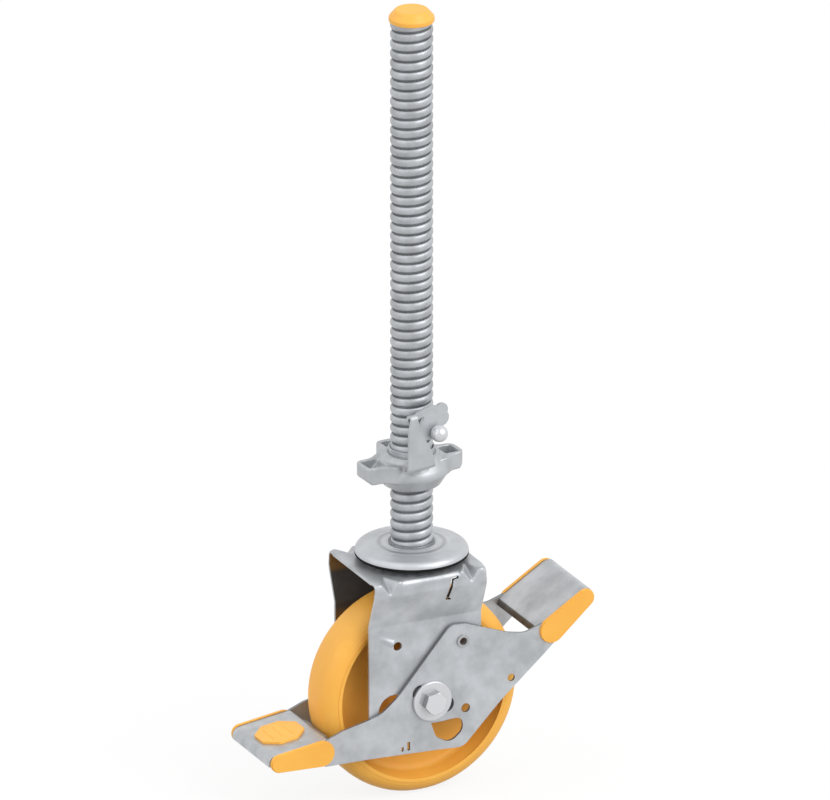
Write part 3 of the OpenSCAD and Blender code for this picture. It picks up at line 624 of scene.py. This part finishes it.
def make_finishes():
    c = settings().colours
    return {
        "galvanised": zinc_finish("galvanised_sheet", c.zinc, c.zinc_dull),
        "cast_zinc": zinc_finish("galvanised_casting", c.cast_zinc, darker(c.cast_zinc, 0.86),
                                 cloud=55, rough=(0.55, 0.4), grain=0.12),
        "fork": fork_finish("galvanised_fork", c.zinc, c.zinc_dull, c.painted_deep_shade, c.painted_bounce),
        "disc": disc_finish("swivel_plate", c.zinc, darker(c.zinc, 0.9), c.painted_deep_shade),
        "plate": plate_finish("galvanised_plate", c.zinc, c.zinc_dull, darker(c.zinc_dull, 0.62)),
        "pedal": pedal_finish("galvanised_pedal", c.zinc, c.zinc_dull, c.painted_deep_shade),
        "bolt": bolt_finish("bolt_plating", c.plated, darker(c.plated, 0.45)),
        "thread": thread_finish("spindle_thread", darker(c.zinc, 0.94), darker(c.zinc_dull, 0.94), c.painted_hollow_shade),
        "weld": zinc_finish("weld_bead", darker(c.zinc_dull, 0.6), darker(c.zinc_dull, 0.4),
                            cloud=300, grain=0.3),
        "zinc_bright": plated_finish("bright_plating", c.plated),
        "ball_steel": plated_finish("ball_steel", c.plated, rough=(0.12, 0.2)),
        "steel": plated_finish("plain_steel", c.bare_steel, rough=(0.35, 0.5)),
        "orange_plastic": moulded_finish("orange_guard", c.orange, c.orange_shade),
        "orange_tread": moulded_finish("orange_tread", c.orange, c.orange_shade, gloss=(0.42, 0.55)),
        "white_plastic": moulded_finish("bearing_bush", c.bush, darker(c.bush, 0.93)),
    }


FINISHES = {}

# Rounded pieces whose finish isn't the plain one of their slot
FINISH_OF = {
    "swivel_disc": "disc",
    "stop_pedal": "pedal",
    "release_pedal": "pedal",
    "brake_plate_near": "plate",
    "brake_plate_far": "plate",
    "axle_bolt": "bolt",
    "axle_nut": "bolt",
}


# Operators

class CASTOR_OT_finishes(bpy.types.Operator):
    """Gives every solid the finish of its slot"""
    bl_idname = "castor.finishes"
    bl_label = "Finishes"

    def execute(self, context):
        FINISHES.update(make_finishes())
        for node, solid in frame["nodes"].items():
            solid.data.materials.clear()
            solid.data.materials.append(FINISHES["weld" if node == "foot_weld" else SLOT_OF[node]])
            smooth(solid, 35)
        return {"FINISHED"}


def thread_profile(foot):
    """One crest of the thread with half a root on either side, from below the foot upwards."""
    s = settings().sizes
    points = []
    for offset in (-0.5, *(-step for step in reversed(CREST_STEPS)), 0.0, *CREST_STEPS, 0.5):
        flank = abs(offset * s.pitch / (CREST_HALF * s.pitch)) ** CREST_SQUARENESS
        rise = max(0.0, 1 - flank) ** (1 / CREST_SQUARENESS)
        points.append((s.crest - s.depth * (1 - rise), 0, foot + (offset - 0.5) * s.pitch))
    return points


class CASTOR_OT_spindle(bpy.types.Operator):
    """Winds the right-handed round thread of the spindle"""
    bl_idname = "castor.spindle"
    bl_label = "Spindle thread"

    def execute(self, context):
        pitch = settings().sizes.pitch
        low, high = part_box("spindle_tube")
        turns = math.ceil((high.z - low.z) / pitch) + 2
        thread = drawn_line("spindle_thread", thread_profile(low.z))
        apply_modifier(thread, "SCREW", axis="Z", angle=FULL_TURN, steps=STEPS_IN_A_TURN,
                       render_steps=STEPS_IN_A_TURN, screw_offset=pitch, iterations=turns,
                       use_merge_vertices=True, merge_threshold=0.01 * MM, use_normal_calculate=True)
        for height, above in ((low.z - THREAD_SINK, False), (high.z, True)):
            edit_all(thread)
            bpy.ops.mesh.bisect(plane_co=(0, 0, height), plane_no=(0, 0, 1), use_fill=True,
                                clear_inner=not above, clear_outer=above)
            close_edit()
        edit_all(thread)
        bpy.ops.mesh.remove_doubles(threshold=SAME_POINT)
        bpy.ops.mesh.normals_make_consistent(inside=False)
        close_edit()
        smooth(thread, 50)
        dress(thread, "spindle_thread", "spindle_tube", "thread")
        return {"FINISHED"}


class CASTOR_OT_pressings(bpy.types.Operator):
    """Rounds the blanked edges of the plates, the pedals and the swivel disc"""
    bl_idname = "castor.pressings"
    bl_label = "Pressings"

    def execute(self, context):
        pressings = ("brake_plate_near", "brake_plate_far", "stop_pedal", "release_pedal", "swivel_disc")
        round_over(pressings, "_pressed", settings().sizes.sheet_edge, degrees=32)
        return {"FINISHED"}


class CASTOR_OT_castings(bpy.types.Operator):
    """Rounds the edges of the catch lever and the thread insert, and softens the cast wing nut"""
    bl_idname = "castor.castings"
    bl_label = "Castings"

    def execute(self, context):
        s = settings().sizes
        round_over(("catch_lever", "thread_insert"), "_cast", s.sheet_edge, degrees=32)
        nut = plain_copy("wing_nut")
        apply_modifier(nut, "REMESH", mode="VOXEL", voxel_size=s.cast_grain, adaptivity=0)
        soften(nut, 6)
        smooth(nut, 60)
        dress(nut, "wing_nut_cast", "wing_nut", SLOT_OF["wing_nut"])
        return {"FINISHED"}


def flare_cone(side):
    """The pressed flare beside the hole in one leg, as a cone sunk in the sheet."""
    along = FLARE_ROOT - FLARE_TIP
    put_down()
    bpy.ops.mesh.primitive_cone_add(
        vertices=32, radius1=FLARE_ROOT_RADIUS, radius2=FLARE_TIP_RADIUS, depth=along.length)
    cone = bpy.context.object
    cone.rotation_euler = (-along).to_track_quat("Z", "Y").to_euler()
    cone.location = AXLE + (FLARE_TIP + FLARE_ROOT) / 2 + ALONG_AXLE * side * (LEG_FACE - FLARE_SINK)
    settle()
    return cone


def between(value, limits):
    return limits[0] < value < limits[1]


def bend_share(x, y, z, low, high):
    """How much of the bend softening a point of the fork takes, in the fork's box from low to high."""
    drop = high.z - z
    if between(x, FLARE_X) and between(drop, FLARE_DROP):
        return FLARE_SHARE
    from_dart = min(abs(x - high.x + DART_IN), abs(x - low.x - DART_IN))
    on_dart = from_dart < DART_HALF and drop < DART_DROP and abs(y) > high.y - DART_REACH
    on_bend = drop < BEND_REACH and abs(y) > high.y - BEND_REACH and not between(x, BEND_GAP_X)
    return 1.0 if on_dart or on_bend else 0.0


class CASTOR_OT_fork(bpy.types.Operator):
    """Presses the fork with the small flares beside its leg holes, and softens its bends"""
    bl_idname = "castor.fork"
    bl_label = "Fork"

    def execute(self, context):
        s = settings().sizes
        low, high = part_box("fork")
        fork = plain_copy("fork")
        flares = [flare_cone(side) for side in (-1, 1)]
        take(fork)
        for flare in flares:
            flare.select_set(True)
        bpy.ops.object.join()
        apply_modifier(fork, "REMESH", mode="VOXEL", voxel_size=s.sheet_grain, adaptivity=0)

        away_from_slot = []
        bent = {1.0: [], FLARE_SHARE: []}
        for vertex in fork.data.vertices:
            x, y, z = vertex.co
            if not (between(x, CRISP_X) and between(z, CRISP_Z)):
                away_from_slot.append(vertex.index)
            share = bend_share(x, y, z, low, high)
            if share:
                bent[share].append(vertex.index)
        skin = fork.vertex_groups.new(name="skin")
        skin.add(away_from_slot, 1.0, "REPLACE")
        bends = fork.vertex_groups.new(name="bends")
        for share, points in bent.items():
            bends.add(points, share, "REPLACE")

        soften(fork, 1, factor=0.3)
        soften(fork, 3, group="skin")
        soften(fork, s.bend_passes, group="bends")
        apply_modifier(fork, "DECIMATE", ratio=0.25)
        smooth(fork, 60)
        dress(fork, "fork_pressed", "fork", "fork")
        return {"FINISHED"}


class CASTOR_OT_guards(bpy.types.Operator):
    """Rounds the edges of the orange guards and the pedal badge"""
    bl_idname = "castor.guards"
    bl_label = "Guards"

    def execute(self, context):
        guards = ("stop_pedal_caps", "release_pedal_caps", "stop_badge")
        round_over(guards, "_moulded", settings().sizes.moulded_edge, degrees=25)
        return {"FINISHED"}


class CASTOR_OT_fasteners(bpy.types.Operator):
    """Rounds the edges of the axle bolt, its nut, the washers and the hollow rivets"""
    bl_idname = "castor.fasteners"
    bl_label = "Fasteners"

    def execute(self, context):
        fasteners = ("axle_bolt", "axle_nut", "shoulder_washers", "pivot_rivets")
        round_over(fasteners, "_finished", settings().sizes.bolt_edge, degrees=25)
        return {"FINISHED"}


# Stage

def seen_rays(tree):
    """1 where the camera, a reflection or a clear piece looks, 0 for the light itself."""
    path = tree.nodes.new("ShaderNodeLightPath")
    seen = path.outputs["Is Camera Ray"]
    for name in ("Is Glossy Ray", "Is Transmission Ray"):
        more = tree.nodes.new("ShaderNodeMath")
        more.operation = "MAXIMUM"
        tree.links.new(seen, more.inputs[0])
        tree.links.new(path.outputs[name], more.inputs[1])
        seen = more.outputs["Value"]
    return seen


def lay_floor():
    """A floor that looks white, and throws little light back on the castor."""
    c = settings().colours
    put_down()
    bpy.ops.mesh.primitive_plane_add(size=FLOOR_SIZE, location=(0, 0, CAD_BOX[0][2] - FLOOR_DROP))
    floor = bpy.context.object
    floor.name = "floor"
    cover = Finish("floor_paint", roughness=0.9)
    seen = seen_rays(cover.tree)
    paint = cover.blend(cover.noise(2), darker(c.floor, 0.99), c.floor)
    cover.colour_by(cover.blend(seen, c.floor_bounce, paint))
    glow = cover.add("ShaderNodeEmission")
    mix = cover.add("ShaderNodeMixShader")
    cover.join(cover.span(seen, 0, 1, 0, FLOOR_GLOW), mix.inputs["Fac"])
    cover.join(cover.shader.outputs["BSDF"], mix.inputs[1])
    cover.join(glow.outputs["Emission"], mix.inputs[2])
    cover.join(mix.outputs["Shader"], cover.tree.nodes["Material Output"].inputs["Surface"])
    floor.data.materials.append(cover.material)


def light_room(scene):
    """Even light from all round, under a backdrop that is seen as white."""
    world = bpy.data.worlds.new("studio")
    scene.world = world
    world.use_nodes = True
    tree = world.node_tree
    room = tree.nodes["Background"]
    room.inputs["Color"].default_value = (1, 1, 1, 1)
    level = tree.nodes.new("ShaderNodeMapRange")
    level.inputs["To Min"].default_value = ROOM_LIGHT
    level.inputs["To Max"].default_value = ROOM_SEEN
    tree.links.new(seen_rays(tree), level.inputs["Value"])
    tree.links.new(level.outputs["Result"], room.inputs["Strength"])


def hang_lamps(scene):
    for name, strength, spread, turn in LAMPS:
        lamp = bpy.data.lights.new(name, "SUN")
        lamp.energy = strength
        lamp.angle = math.radians(spread)
        holder = bpy.data.objects.new(name, lamp)
        holder.rotation_euler = [math.radians(value) for value in turn]
        scene.collection.objects.link(holder)


def place_camera(scene):
    """A long lens far back, so that the view is nearly parallel."""
    turn, tilt = CAMERA_TURN, CAMERA_TILT
    across = Vector((math.cos(turn), -math.sin(turn), 0))
    up = Vector((math.sin(turn) * math.sin(tilt), math.cos(turn) * math.sin(tilt), math.cos(tilt)))
    back = Vector((-math.sin(turn) * math.cos(tilt), -math.cos(turn) * math.cos(tilt), math.sin(tilt)))
    look = bpy.data.cameras.new("camera")
    look.lens = CAMERA_LENS
    look.sensor_width = CAMERA_SENSOR
    look.clip_start = 1
    look.clip_end = 200
    camera = bpy.data.objects.new("camera", look)
    middle = AXLE + across * VIEW_ACROSS + up * VIEW_UP
    camera.location = middle + back * CAMERA_LENS * VIEW_WIDTH / CAMERA_SENSOR
    camera.rotation_euler = (-back).to_track_quat("-Z", "Y").to_euler()
    scene.collection.objects.link(camera)
    scene.camera = camera


class CASTOR_OT_stage(bpy.types.Operator):
    """Sets the floor, the soft light and the camera"""
    bl_idname = "castor.stage"
    bl_label = "Stage"

    def execute(self, context):
        context.scene.view_settings.view_transform = "Standard"
        lay_floor()
        light_room(context.scene)
        hang_lamps(context.scene)
        place_camera(context.scene)
        return {"FINISHED"}


# Panel and registration

OPERATORS = (
    CASTOR_OT_finishes,
    CASTOR_OT_spindle,
    CASTOR_OT_pressings,
    CASTOR_OT_castings,
    CASTOR_OT_fork,
    CASTOR_OT_guards,
    CASTOR_OT_fasteners,
    CASTOR_OT_stage,
)


class CASTOR_PT_build(bpy.types.Panel):
    """Lists the castor's operators, sizes and colours"""
    bl_label = "Castor"
    bl_idname = "CASTOR_PT_build"
    bl_space_type = "VIEW_3D"
    bl_region_type = "UI"
    bl_category = "Castor"

    def draw(self, context):
        for operator in OPERATORS:
            self.layout.operator(operator.bl_idname)
        for group in (context.scene.castor.sizes, context.scene.castor.colours):
            for name in group.__annotations__:
                self.layout.prop(group, name)


GROUPS = (CastorSizes, CastorColours, CastorSettings)


def register():
    for item in (*GROUPS, *OPERATORS, CASTOR_PT_build):
        bpy.utils.register_class(item)
    bpy.types.Scene.castor = bpy.props.PointerProperty(type=CastorSettings)


def unregister():
    del bpy.types.Scene.castor
    for item in reversed((*GROUPS, *OPERATORS, CASTOR_PT_build)):
        bpy.utils.unregister_class(item)


def main():
    register()
    for operator in OPERATORS:
        group, name = operator.bl_idname.split(".")
        getattr(getattr(bpy.ops, group), name)()


if __name__ == "__main__":
    main()
